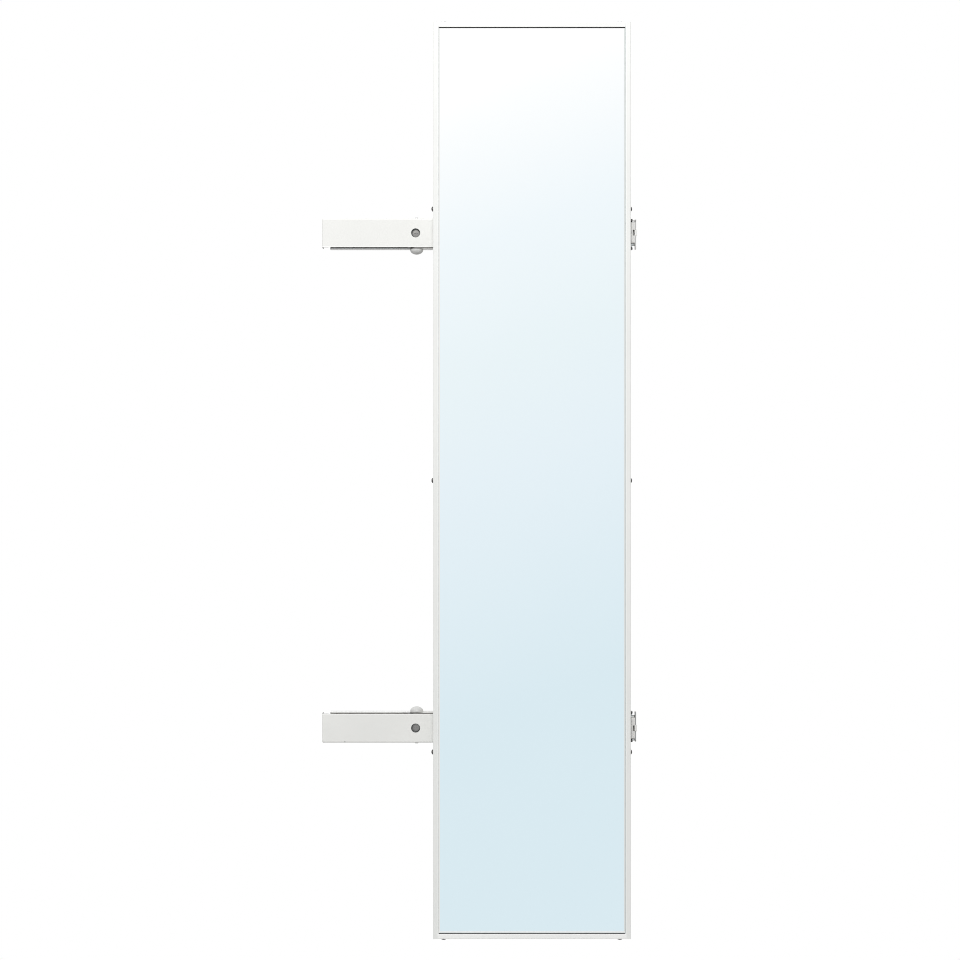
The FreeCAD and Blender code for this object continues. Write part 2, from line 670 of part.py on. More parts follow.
# Stiles: box section with a ledge for the backing board.
b = body("left_stile")
pad(b, "section", "XY_Plane", [
    ("poly", [(fr_left, -A), (inner_l, -A), (inner_l, -ledge_f), (inner_l + ledge, -ledge_f),
              (inner_l + ledge, -ledge_b), (inner_l, -ledge_b), (inner_l, -B), (fr_left, -B)]),
    rect(fr_left + W, inner_l - W, W - A, -B - W)], 2 * fr_half, symmetric=True)
pocket(b, "ledge_ends", "XZ_Plane", [
    rect(inner_l, inner_l + ledge + 1, end_z, fr_half + 1),
    rect(inner_l, inner_l + ledge + 1, -fr_half - 1, -end_z)])
fillet(b, "outer_front_edge", "z", [(fr_left, -A)], 0.9)
fillet(b, "inner_front_edge", "z", [(inner_l, -A)], 0.5)
fillet(b, "rear_edges", "z", [(fr_left, -B)], 0.6)
pocket(b, "side_screw_holes", "YZ_Plane", [
    ("circle", screw_y, 0, sc_shank + 0.1), ("circle", screw_y, cross_z, sc_shank + 0.1),
    ("circle", screw_y, -cross_z, sc_shank + 0.1)])
pocket(b, "connector_screw_holes", "YZ_Plane", [
    ("circle", screw_y, 646, 1.75), ("circle", screw_y, -646, 1.75)], length=3, offset=inner_l + 1)
node(b)
node(mirrored("right_stile", b, (1, 0, 0), mid_x))

# Top member, between the stiles.
b = body("top_member")
pad(b, "section", "YZ_Plane", [
    ("poly", [(-A, end_z), (-A, fr_half), (-B, fr_half), (-B, end_z), (-ledge_b, end_z),
              (-ledge_b, end_z - ledge), (-ledge_f, end_z - ledge), (-ledge_f, end_z)]),
    rect(W - A, -B - W, end_z + W, fr_half - W)], inner_r - inner_l, offset=inner_l)
pocket(b, "ledge_ends", "XZ_Plane", [
    rect(inner_l - 1, inner_l + ledge, end_z - ledge - 1, end_z),
    rect(inner_r - ledge, inner_r + 1, end_z - ledge - 1, end_z)])
fillet(b, "outer_front_edge", "x", [(-A, fr_half)], 0.9)
fillet(b, "inner_front_edge", "x", [(-A, end_z)], 0.5)
fillet(b, "rear_edges", "x", [(-B, fr_half)], 0.6)
pocket(b, "screw_holes", "XY_Plane", [
    ("circle", fr_left + top_screw_in, screw_y, sc_shank + 0.1),
    ("circle", fr_right - top_screw_in, screw_y, sc_shank + 0.1)])
both(b, "bottom_member")

# Plugs in the open ends of the stiles.
def plug(name, x0, x1):
    p = box(name, x0 + 0.05, x1 - 0.05, W - A + 0.05, -B - W - 0.05, fr_half - 10, fr_half)
    return p


upper_plugs = group("upper_plugs", [plug("plug_left", fr_left + W, inner_l - W),
                                    plug("plug_right", inner_r + W, fr_right - W)])
node(group("stile_end_plugs", [upper_plugs, mirrored("lower_plugs", upper_plugs)]))

# Corner connectors behind the glass, with their screws into the stiles.
b = body("connector_upper_left")
pad(b, "angle", "XZ_Plane", [("poly", [
    (inner_l, end_z), (inner_l, 636), (inner_l + 16, 636), (inner_l + 16, end_z - 14),
    (inner_l + 34, end_z - 14), (inner_l + 34, end_z)])], 6.8, offset=37.0)
pocket(b, "top_screw_bore", "XY_Plane", [("circle", fr_left + top_screw_in, screw_y, sc_shank)],
       length=17, offset=end_z + 1)
pocket(b, "side_screw_bore", "YZ_Plane", [("circle", screw_y, 646, 1.75)])
c2 = mirrored("connector_upper_right", b, (1, 0, 0), mid_x)
upper_pair = group("upper_connectors", [b, c2])
node(group("corner_connectors", [upper_pair, mirrored("lower_connectors", upper_pair)]))

s1 = pan_screw("connector_screw_left", inner_l + 16, screw_y, 646, TO_PLUS_X, 3.0, 1.8, 1.75, 17.2)
s2 = mirrored("connector_screw_right", s1, (1, 0, 0), mid_x)
upper_pair = group("upper_connector_screws", [s1, s2])
node(group("connector_screws", [upper_pair, mirrored("lower_connector_screws", upper_pair)]))


# Cross rails: folded sheet channels between the stiles, with end tabs.
def cross_rail(name, zc, holes):
    b = body(name)
    h, t = cross_half, cross_t
    pad(b, "web", "YZ_Plane", [("poly", [
        (-B, -h), (-B, h), (-ledge_b, h), (-ledge_b, h - t), (-B - t, h - t), (-B - t, t - h),
        (-ledge_b, t - h), (-ledge_b, -h)])], inner_r - inner_l, offset=inner_l)
    for side, x in (("left", inner_l), ("right", inner_r - 2)):
        pad(b, side + "_tab", "YZ_Plane", [rect(-ledge_b, -B, -h, h)], 2, offset=x)
    pocket(b, "tab_holes", "YZ_Plane", [("circle", screw_y, 0, sc_shank)])
    if holes:
        pocket(b, "arm_screw_holes", "XZ_Plane", [("circle", x, slide_z + z - cross_z, 2.0) for x, z in arm_screw_at],
               length=6, offset=B + 3)
    fillet(b, "bends", "x", [(-B, h), (-B, -h)], 1.1)
    place(b, 0, 0, zc)
    return b


both(cross_rail("upper_cross_rail", cross_z, True), "lower_cross_rail")
node(cross_rail("middle_cross_rail", 0, False))

# Glass with ground edges, tape, backing board and gaskets.
b = body("mirror_glass")
gx0, gx1, gz = inner_l + side_gap, inner_r - side_gap, end_z - end_gap
pad(b, "pane", "XY_Plane", [("poly", [
    (gx0, glass_t - glass_f), (gx0, bevel_d - glass_f), (gx0 + bevel_w, -glass_f), (gx1 - bevel_w, -glass_f),
    (gx1, bevel_d - glass_f), (gx1, glass_t - glass_f)])], 2 * gz, symmetric=True)
tip = b.Tip
names = edges_at(tip.Shape, "x", [(-glass_f, gz), (-glass_f, -gz)])
f = b.newObject("PartDesign::Chamfer", "ground_ends")
f.Base = (tip, names)
f.Size = 0.3
doc.recompute()
node(b)

strips = [box("tape_%d" % i, x, x + 18, glass_t - glass_f, glass_t + tape_t - glass_f, -640, 640)
          for i, x in enumerate((-30, 78.5, 187))]
node(group("adhesive_tape", strips))

b = body("backing_board")
pad(b, "board", "XZ_Plane", [rect(inner_l + 0.3, inner_r - 0.3, 0.3 - end_z, end_z - 0.3)],
    glass_f - glass_t - tape_t - ledge_f, offset=ledge_f)
node(b)


def gasket(name, x0, x1, z0, z1, edge_axis, edges):
    b = body(name)
    pad(b, "strip", "XZ_Plane", [rect(x0, x1, z0, z1)], 5.0, offset=47.5)
    fillet(b, "lips", edge_axis, edges, 0.6)
    node(b)


gasket("left_gasket", inner_l, gx0, -end_z, end_z, "z", [(inner_l, -52.5), (gx0, -52.5)])
gasket("right_gasket", gx1, inner_r, -end_z, end_z, "z", [(gx1, -52.5), (inner_r, -52.5)])
gasket("top_gasket", gx0, gx1, gz, end_z, "x", [(-52.5, gz), (-52.5, end_z)])
gasket("bottom_gasket", gx0, gx1, -end_z, -gz, "x", [(-52.5, -gz), (-52.5, -end_z)])

# Screws through the stiles into the cross rails, and through the top and
# bottom members into the corner connectors.
items = []
for i, z in enumerate((-cross_z, 0, cross_z)):
    items.append(pan_screw("side_screw_left_%d" % i, fr_left, screw_y, z, TO_MINUS_X, ss_head, ss_high, sc_shank, 12))
    items.append(pan_screw("side_screw_right_%d" % i, fr_right, screw_y, z, TO_PLUS_X, ss_head, ss_high, sc_shank, 12))
node(group("side_screws", items))
items = [pan_screw("top_screw_left", fr_left + top_screw_in, screw_y, fr_half, ROT(), ts_head, ts_high, sc_shank, 22, domed=0.25),
         pan_screw("top_screw_right", fr_right - top_screw_in, screw_y, fr_half, ROT(), ts_head, ts_high, sc_shank, 22, domed=0.25)]
both(group("top_screws", items), "bottom_screws")

# Rubber buffers on the cross rails, facing the brackets' front legs.
buffer_blank = cyl("buffer_upper", 60, -fr_rear, cross_z - 20, 3.9, 2.2, TO_PLUS_Y)
node(group("buffer_pads", [buffer_blank, mirrored("buffer_lower", buffer_blank)]))

# -------------------------------------------------------------- check, export
doc.recompute()
bad = []
for o in doc.Objects:
    if "Invalid" in o.State or "Error" in o.State:
        bad.append("%s %s" % (o.Label, o.State))
for o in NODES:
    s = o.Shape
    if s.isNull() or not s.isValid() or not s.Solids:
        bad.append("%s has no valid solid" % o.Label)
if bad:
    raise RuntimeError("; ".join(bad))
labels = [o.Label for o in NODES]
if len(set(labels)) != len(labels):
    raise RuntimeError("two sub-parts share a label")

os.makedirs("parts", exist_ok=True)
for name in os.listdir("parts"):
    if name.endswith(".step"):
        os.remove(os.path.join("parts", name))
for o in NODES:
    o.Shape.exportStep("parts/%s.step" % o.Label)
print("%d nodes" % len(NODES))
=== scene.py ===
"""Looks of the pull out closet mirror: finishes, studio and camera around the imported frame."""

import math

import bpy
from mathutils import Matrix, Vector

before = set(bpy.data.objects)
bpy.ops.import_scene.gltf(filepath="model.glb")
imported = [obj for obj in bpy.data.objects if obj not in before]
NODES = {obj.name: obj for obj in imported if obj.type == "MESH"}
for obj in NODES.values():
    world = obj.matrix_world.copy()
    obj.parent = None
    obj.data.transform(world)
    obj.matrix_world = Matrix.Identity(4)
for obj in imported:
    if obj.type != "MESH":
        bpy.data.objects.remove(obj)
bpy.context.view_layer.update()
scene = bpy.context.scene


# ---------------------------------------------------------------- node helpers
class Mat:
    """A node material with short calls for the nodes that the finishes here need."""

    def __init__(self, name):
        self.m = bpy.data.materials.new(name)
        self.m.use_nodes = True
        self.t = self.m.node_tree
        self.t.nodes.clear()
        self.out = self.t.nodes.new("ShaderNodeOutputMaterial")
        self.p = self.t.nodes.new("ShaderNodeBsdfPrincipled")
        self.link(self.p.outputs[0], self.out.inputs[0])
        self.co = self.t.nodes.new("ShaderNodeTexCoord").outputs["Object"]
        self.normal = None

    def link(self, a, b):
        self.t.links.new(a, b)

    def set(self, **kw):
        names = {
            "color": "Base Color",
            "rough": "Roughness",
            "metal": "Metallic",
            "ior": "IOR",
            "spec": "Specular IOR Level",
            "coat": "Coat Weight",
            "coat_rough": "Coat Roughness",
            "sss": "Subsurface Weight",
            "sss_radius": "Subsurface Radius",
            "sss_scale": "Subsurface Scale",
            "aniso": "Anisotropic",
            "sheen": "Sheen Weight",
            "trans": "Transmission Weight",
        }
        for k, v in kw.items():
            s = self.p.inputs[names[k]]
            if isinstance(v, bpy.types.NodeSocket):
                self.link(v, s)
            elif k == "color":
                s.default_value = (*v, 1)
            else:
                s.default_value = v
        return self

    def scaled(self, sx, sy, sz, turn=(0, 0, 0)):
        n = self.t.nodes.new("ShaderNodeMapping")
        n.inputs["Scale"].default_value = (sx, sy, sz)
        n.inputs["Rotation"].default_value = turn
        self.link(self.co, n.inputs["Vector"])
        return n.outputs[0]

    def noise(self, scale, detail=2.0, rough=0.5, vector=None, distort=0.0):
        n = self.t.nodes.new("ShaderNodeTexNoise")
        n.inputs["Scale"].default_value = scale
        n.inputs["Detail"].default_value = detail
        n.inputs["Roughness"].default_value = rough
        n.inputs["Distortion"].default_value = distort
        self.link(vector if vector is not None else self.co, n.inputs["Vector"])
        return n.outputs["Fac"]

    def voronoi(self, scale, vector=None, feature="F1", output="Distance", random=1.0):
        n = self.t.nodes.new("ShaderNodeTexVoronoi")
        n.feature = feature
        n.inputs["Scale"].default_value = scale
        n.inputs["Randomness"].default_value = random
        self.link(vector if vector is not None else self.co, n.inputs["Vector"])
        return n.outputs[output]

    def span(self, value, lo, hi, to_lo=0.0, to_hi=1.0, smooth=False):
        n = self.t.nodes.new("ShaderNodeMapRange")
        n.interpolation_type = "SMOOTHSTEP" if smooth else "LINEAR"
        n.inputs["From Min"].default_value = lo
        n.inputs["From Max"].default_value = hi
        n.inputs["To Min"].default_value = to_lo
        n.inputs["To Max"].default_value = to_hi
        self.link(value, n.inputs["Value"])
        return n.outputs["Result"]

    def math(self, op, a, b=None, c=None):
        n = self.t.nodes.new("ShaderNodeMath")
        n.operation = op
        for i, v in enumerate((a, b, c)):
            if v is None:
                continue
            if isinstance(v, bpy.types.NodeSocket):
                self.link(v, n.inputs[i])
            else:
                n.inputs[i].default_value = v
        return n.outputs[0]

    def mix(self, factor, a, b):
        """Colour mix; a and b are sockets or rgb."""
        n = self.t.nodes.new("ShaderNodeMix")
        n.data_type = "RGBA"
        n.clamp_factor = True
        for v, s in ((a, n.inputs[6]), (b, n.inputs[7])):
            if isinstance(v, bpy.types.NodeSocket):
                self.link(v, s)
            else:
                s.default_value = (*v, 1)
        if isinstance(factor, bpy.types.NodeSocket):
            self.link(factor, n.inputs[0])
        else:
            n.inputs[0].default_value = factor
        return n.outputs[2]

    def xyz(self):
        n = self.t.nodes.new("ShaderNodeSeparateXYZ")
        self.link(self.co, n.inputs[0])
        return n.outputs[0], n.outputs[1], n.outputs[2]

    def facing(self):
        """The surface's own normal in its body's frame, so it holds when the body turns."""
        n = self.t.nodes.new("ShaderNodeSeparateXYZ")
        self.link(self.t.nodes.new("ShaderNodeTexCoord").outputs["Normal"], n.inputs[0])
        return n.outputs[0], n.outputs[1], n.outputs[2]

    def soft_edges(self, radius):
        """Rounds the edges in the shading by this radius, in metres."""
        n = self.t.nodes.new("ShaderNodeBevel")
        n.samples = 6
        n.inputs["Radius"].default_value = radius
        self.normal = n.outputs[0]
        return self

    def edge_mask(self, radius, lo=0.02, hi=0.25):
        """1 on worn outer edges, 0 on flat faces."""
        b = self.t.nodes.new("ShaderNodeBevel")
        b.samples = 6
        b.inputs["Radius"].default_value = radius
        g = self.t.nodes.new("ShaderNodeNewGeometry")
        d = self.t.nodes.new("ShaderNodeVectorMath")
        d.operation = "DOT_PRODUCT"
        self.link(b.outputs[0], d.inputs[0])
        self.link(g.outputs["Normal"], d.inputs[1])
        off = self.math("SUBTRACT", 1.0, d.outputs["Value"])
        return self.span(off, lo, hi, smooth=True)

    def recess_shade(self, distance, lo, hi):
        """0 in recesses, where shade is painted in; 1 where the surface is open."""
        n = self.t.nodes.new("ShaderNodeAmbientOcclusion")
        n.samples = 8
        n.inputs["Distance"].default_value = distance
        return self.span(n.outputs["AO"], lo, hi)

    def bump(self, height, strength, distance):
        n = self.t.nodes.new("ShaderNodeBump")
        n.inputs["Strength"].default_value = strength
        n.inputs["Distance"].default_value = distance
        self.link(height, n.inputs["Height"])
        if self.normal is not None:
            self.link(self.normal, n.inputs["Normal"])
        self.normal = n.outputs[0]
        return self

    def done(self):
        if self.normal is not None:
            self.link(self.normal, self.p.inputs["Normal"])
        return self.m


# ---------------------------------------------------------------- finishes
def lacquer(name, tone, rough, painted_light_and_bare_end=False, coat=0.12, stile=False, member=False):
    """White powder coat: fine orange peel, slight dust and handling marks, edges rubbed a little smoother; the stile,
    member and bracket-end options paint highlights and shade in.
    """
    m = Mat(name)
    cloud = m.noise(9.0, 3, 0.55)
    speck = m.noise(900.0, 2, 0.6)
    rub = m.noise(38.0, 5, 0.62, vector=m.scaled(1, 1, 0.25))
    edge = m.edge_mask(0.0011)
    dull = tuple(c * 0.955 for c in tone)
    warm = (tone[0] * 0.975, tone[1] * 0.972, tone[2] * 0.955)
    c = m.mix(m.span(cloud, 0.35, 0.7), tone, dull)
    c = m.mix(m.span(speck, 0.62, 0.75, 0, 0.35), c, warm)
    c = m.mix(
        m.math("MULTIPLY", edge, 0.25), c, tuple(min(1, x * 1.03) for x in tone)
    )
    r = m.math(
        "ADD",
        m.span(rub, 0.3, 0.75, rough - 0.05, rough + 0.09),
        m.math("MULTIPLY", edge, -0.06),
    )
    if stile:
        # painted highlight along the ridge by the gasket, painted shade on the outer corner
        off = from_middle(m)
        c = m.mix(m.span(off, 0.1392, 0.1401, 1, 0, smooth=True), c, (0.955, 0.965, 0.955))
        c = m.mix(m.span(off, 0.1448, 0.1456, 0, 1, smooth=True), c, tuple(x * 0.965 for x in tone))
    if member:
        # painted highlight along the member's inner edge
        _, _, z = m.xyz()
        inner = m.span(m.math("ABSOLUTE", z), 0.6699, 0.6708, 1, 0, smooth=True)
        c = m.mix(inner, c, (0.985, 0.985, 0.98))
    if painted_light_and_bare_end:
        # painted highlight along the open edge, and painted light on the end behind the frame where the frame's shade
        # falls; the tongue's lower end is painted near-black: bare cut metal darkened further with painted shade of its
        # underside
        x, _, z = m.xyz()
        high = m.math("ABSOLUTE", z)
        c = m.mix(m.span(high, 0.3474, 0.3482, 0.9, 0, smooth=True), c, (0.985, 0.985, 0.97))
        c = m.mix(m.span(x, -0.0672, -0.0612, 0, 0.6, smooth=True), c, (0.955, 0.955, 0.935))
        bare = m.span(high, 0.34612, 0.34622, 1, 0)
        c = m.mix(m.math("MULTIPLY", bare, 0.9), c, (0.075, 0.073, 0.070))
    m.set(color=c, rough=r, ior=1.5, coat=coat, coat_rough=0.22)
    m.soft_edges(0.00035)
    m.bump(m.noise(520.0, 3, 0.55), 0.10, 0.0004)
    return m.done()


def zinc(name, tone, rough, grain_along="x", dark=0.0, lip=False):
    """Bright zinc-plated rolled steel: drawn grain, cloudy passivation, brighter rubbed edges; with lip, painted shade
    on the lips and the tab's edge, painted highlights on the rolled corners and the end tab.
    """
    m = Mat(name)
    stretch = {"x": (2.5, 420, 420), "z": (420, 420, 2.5), "y": (420, 2.5, 420)}[
        grain_along
    ]
    grain = m.noise(1.0, 4, 0.6, vector=m.scaled(*stretch))
    cloud = m.noise(26.0, 4, 0.6)
    fine = m.noise(1400.0, 2, 0.5)
    edge = m.edge_mask(0.0008)
    low = tuple(c * 0.86 for c in tone)
    tint = (tone[0] * 0.985, tone[1] * 0.99, min(1, tone[2] * 1.035))
    c = m.mix(m.span(cloud, 0.32, 0.7), tone, low)
    c = m.mix(m.span(grain, 0.35, 0.7, 0, 0.5), c, tint)
    c = m.mix(m.math("MULTIPLY", edge, 0.5), c, tuple(min(1, x * 1.12) for x in tone))
    if dark:
        c = m.mix(dark, c, (0.10, 0.10, 0.095))
    r = m.math(
        "ADD",
        m.span(cloud, 0.3, 0.7, rough - 0.05, rough + 0.08),
        m.math("MULTIPLY", edge, -0.08),
    )
    r = m.math("ADD", r, m.span(grain, 0.3, 0.7, -0.04, 0.05))
    if lip:
        # painted shade on the lips under the bracket's edge, mottled and a little rougher; painted highlight on the
        # rolled corners
        x, y, z = m.xyz()
        high = m.math("ABSOLUTE", m.math("SUBTRACT", m.math("ABSOLUTE", z), 0.368))
        rear = m.span(x, 0.2325, 0.2335, 0, 1)
        lip_shade = m.math(
            "MULTIPLY",
            m.span(y, -0.0112, -0.0085, 1, 0, smooth=True),
            m.math("MAXIMUM", m.span(high, 0.0210, 0.0215, 1, 0, smooth=True), rear),
        )
        smear = m.span(m.noise(34.0, 4, 0.6, vector=m.scaled(0.2, 1, 1)), 0.3, 0.7)
        # painted highlight on the rolled corners, less metallic there
        corner_highlight = m.math(
            "MULTIPLY",
            m.span(y, -0.0119, -0.0085, 1, 0, smooth=True),
            m.math("MULTIPLY", m.span(high, 0.0212, 0.0217, 0, 1, smooth=True), m.math("SUBTRACT", 1.0, rear)),
        )
        c = m.mix(corner_highlight, c, (0.95, 0.95, 0.945))
        c = m.mix(lip_shade, c, m.mix(smear, (0.305, 0.292, 0.276), (0.270, 0.260, 0.248)))
        shade = m.math(
            "MULTIPLY",
            m.span(high, 0.0174, 0.0180, 0, 1, smooth=True),
            m.math("MULTIPLY", rear, m.span(x, 0.2385, 0.2400, 1, 0, smooth=True)),
        )
        c = m.mix(shade, c, (0.11, 0.107, 0.103))
        r = m.math("ADD", r, m.math("MULTIPLY", lip_shade, 0.10))
        # the end tab: painted light on the band towards the other slide, painted shade along its edge
        inner = m.math("SUBTRACT", 0.368, m.math("ABSOLUTE", z))
        tab = m.math("MULTIPLY", m.span(x, 0.2370, 0.2374, 0, 1), m.span(y, -0.0030, -0.0026, 0, 1))
        tab_light = m.math("MULTIPLY", m.span(inner, 0.0132, 0.0136, 0, 1), m.span(inner, 0.0150, 0.0154, 1, 0))
        c = m.mix(m.math("MULTIPLY", tab, tab_light), c, (0.985, 0.97, 0.94))
        tab_edge_shade = m.math("MULTIPLY", m.span(inner, 0.0150, 0.0154, 0, 1), m.span(inner, 0.0166, 0.0170, 1, 0))
        c = m.mix(m.math("MULTIPLY", tab, tab_edge_shade), c, (0.50, 0.49, 0.475))
        metal = m.span(corner_highlight, 0, 1, 1.0, 0.3)
        m.set(color=c, rough=r, metal=metal)
    else:
        m.set(color=c, rough=r, metal=1.0)
    m.soft_edges(0.00025)
    m.bump(grain, 0.12, 0.00006)
    m.bump(fine, 0.10, 0.00004)
    return m.done()


def cut_sheet(name, tone, rough, bare):
    """Coated sheet steel whose edges were cut afterwards: white faces, bare grey edges."""
    m = Mat(name)
    _, _, z = m.xyz()
    _, ny, nz = m.facing()
    plate = m.span(m.math("ABSOLUTE", z), 0.34630, 0.34640, 1, 0)
    flat_z = m.span(m.math("ABSOLUTE", nz), 0.6, 0.8)
    flat_y = m.span(m.math("ABSOLUTE", ny), 0.6, 0.8)
    flat = m.math("ADD", m.math("MULTIPLY", plate, flat_z), m.math("MULTIPLY", m.math("SUBTRACT", 1.0, plate), flat_y))
    cloud = m.noise(9.0, 3, 0.55)
    rub = m.noise(60.0, 4, 0.6, vector=m.scaled(0.3, 0.3, 2))
    coat = m.mix(m.span(cloud, 0.35, 0.7), tone, tuple(x * 0.955 for x in tone))
    metal = m.mix(m.span(rub, 0.35, 0.7), bare, tuple(x * 0.82 for x in bare))
    m.set(
        color=m.mix(flat, metal, coat),
        rough=m.span(flat, 0, 1, 0.6, rough),
        ior=1.5,
    )
    m.soft_edges(0.0002)
    m.bump(m.noise(520.0, 3, 0.55), 0.10, 0.0003)
    return m.done()


def casting(name, tone):
    m = Mat(name)
    pits = m.voronoi(700.0)
    cloud = m.noise(60.0, 4, 0.6)
    edge = m.edge_mask(0.0007)
    c = m.mix(m.span(cloud, 0.3, 0.7), tone, tuple(x * 0.78 for x in tone))
    c = m.mix(m.math("MULTIPLY", edge, 0.55), c, tuple(min(1, x * 1.25) for x in tone))
    # painted shade in the block's recesses
    c = m.mix(m.recess_shade(0.006, 0.25, 0.8), tuple(x * 0.2 for x in tone), c)
    # painted shade on the end by the arm, under the bracket's edge
    _, _, z = m.xyz()
    c = m.mix(m.span(m.math("ABSOLUTE", z), 0.3474, 0.3479, 1, 0), c, tuple(x * 0.42 for x in tone))
    m.set(color=c, rough=m.span(cloud, 0.3, 0.7, 0.38, 0.55), metal=1.0)
    m.soft_edges(0.0004)
    m.bump(pits, 0.25, 0.0002)
    m.bump(m.noise(1500.0, 2, 0.5), 0.2, 0.0001)
    return m.done()


def plastic(name, tone, rough=0.42, sss=0.0, grain=0.12, ior=1.49, slot=False):
    """Moulded plastic: fine spark-eroded grain, faint flow clouds, edges a touch lighter."""
    m = Mat(name)
    cloud = m.noise(45.0, 3, 0.55)
    fine = m.noise(1600.0, 2, 0.55)
    edge = m.edge_mask(0.0006)
    c = m.mix(m.span(cloud, 0.3, 0.72), tone, tuple(x * 0.93 for x in tone))
    c = m.mix(m.math("MULTIPLY", edge, 0.35), c, tuple(min(1, x * 1.12) for x in tone))
    if slot:
        # darker down in the bumper's slot
        x, y, z = m.xyz()
        high = m.math("ABSOLUTE", m.math("SUBTRACT", m.math("ABSOLUTE", z), 0.3704))
        inside = m.math("MULTIPLY", m.span(x, 0.23900, 0.23905, 0, 1), m.span(x, 0.24195, 0.24200, 1, 0))
        inside = m.math("MULTIPLY", inside, m.span(high, 0.00450, 0.00455, 1, 0))
        inside = m.math("MULTIPLY", inside, m.span(y, -0.01080, -0.01070, 0, 1))
        c = m.mix(inside, c, (0.55, 0.545, 0.53))
    m.set(
        color=c,
        rough=m.math(
            "ADD",
            m.span(fine, 0.3, 0.7, rough - 0.04, rough + 0.05),
            m.math("MULTIPLY", edge, -0.08),
        ),
        ior=ior,
    )
    if sss:
        m.set(sss=sss, sss_radius=(1.0, 0.95, 0.85), sss_scale=0.0022)
    m.soft_edges(0.0003)
    m.bump(fine, grain, 0.00012)
    return m.done()


def from_middle(m):
    """Distance from the mirror's upright centre line."""
    x, _, _ = m.xyz()
    return m.math("ABSOLUTE", m.math("SUBTRACT", x, 0.0875))


def rubber(name, tone, mottle=0.5, spec=0.5):
    m = Mat(name)
    cloud = m.noise(110.0, 4, 0.6)
    fine = m.noise(2200.0, 3, 0.6)
    c = m.mix(m.span(cloud, 0.35, 0.7), tone, tuple(min(1, x * (1 + mottle) + 0.01) for x in tone))
    m.set(color=c, rough=m.span(cloud, 0.3, 0.7, 0.55, 0.75), ior=1.5, spec=spec)
    m.soft_edges(0.0002)
    m.bump(fine, 0.18, 0.0001)
    return m.done()


def silvered(name):
    """Silvered float glass seen from its face: the silver's reflection through faintly green-blue glass, ground edge."""
    m = Mat(name)
    x, y, z = m.xyz()
    _, ny, _ = m.facing()
    face = m.span(ny, -0.96, -0.9, 1, 0)  # 1 on the front face and its side bevels
    off = m.math("ABSOLUTE", m.math("SUBTRACT", x, 0.0875))
    bevel = m.span(off, 0.13595, 0.13605)
    haze = m.noise(5.0, 3, 0.5)
    wipe = m.noise(1.0, 4, 0.6, vector=m.scaled(14, 14, 3))
    c = m.mix(m.span(haze, 0.3, 0.7), (0.985, 0.988, 0.986), (0.975, 0.982, 0.982))
    back = m.mix(m.span(y, -0.0489, -0.0484), (0.80, 0.87, 0.87), (0.30, 0.31, 0.32))
    # the ground edge, with painted shade making it darker on the right side
    side = m.mix(m.span(x, 0.0, 0.1), (1.0, 1.0, 0.985), (0.95, 0.98, 0.975))
    c = m.mix(bevel, c, side)
    c = m.mix(face, back, c)
    r_face = m.span(wipe, 0.35, 0.75, 0.012, 0.035)
    r = m.math(
        "ADD",
        m.math("MULTIPLY", face, r_face),
        m.math("MULTIPLY", m.math("SUBTRACT", 1.0, face), 0.38),
    )
    # a narrow strip along the bottom edge is made duller and less metallic, so it reads lighter: painted highlight
    low = m.math("MULTIPLY", face, m.span(z, -0.6655, -0.6651, 1, 0))
    metal = m.math("SUBTRACT", m.span(face, 0, 1, 0.15, 1.0), m.math("MULTIPLY", low, 0.6))
    r = m.math("ADD", r, m.math("MULTIPLY", low, 0.3))
    m.set(color=c, rough=r, metal=metal)
    m.bump(m.noise(2.2, 2, 0.5), 0.04, 0.0006)
    return m.done()


def board(name):
    """Back board: thin hardboard, brown fibres with the press screen's texture on the back."""
    m = Mat(name)
    fibre = m.noise(1.0, 6, 0.68, vector=m.scaled(210, 60, 900))
    fibre2 = m.noise(1.0, 5, 0.66, vector=m.scaled(700, 60, 260, turn=(0, 0.6, 0)))
    cloud = m.noise(7.0, 4, 0.6)
    c = m.mix(m.span(fibre, 0.35, 0.7), (0.36, 0.225, 0.125), (0.23, 0.135, 0.072))
    c = m.mix(m.span(fibre2, 0.55, 0.75, 0, 0.6), c, (0.46, 0.31, 0.19))
    c = m.mix(m.span(cloud, 0.35, 0.7, 0, 0.35), c, (0.27, 0.165, 0.095))
    weave = m.voronoi(520.0, random=0.25)
    m.set(color=c, rough=m.span(fibre, 0.3, 0.7, 0.62, 0.82), ior=1.45)
    m.bump(weave, 0.35, 0.00035)
    m.bump(fibre, 0.2, 0.0002)
    return m.done()


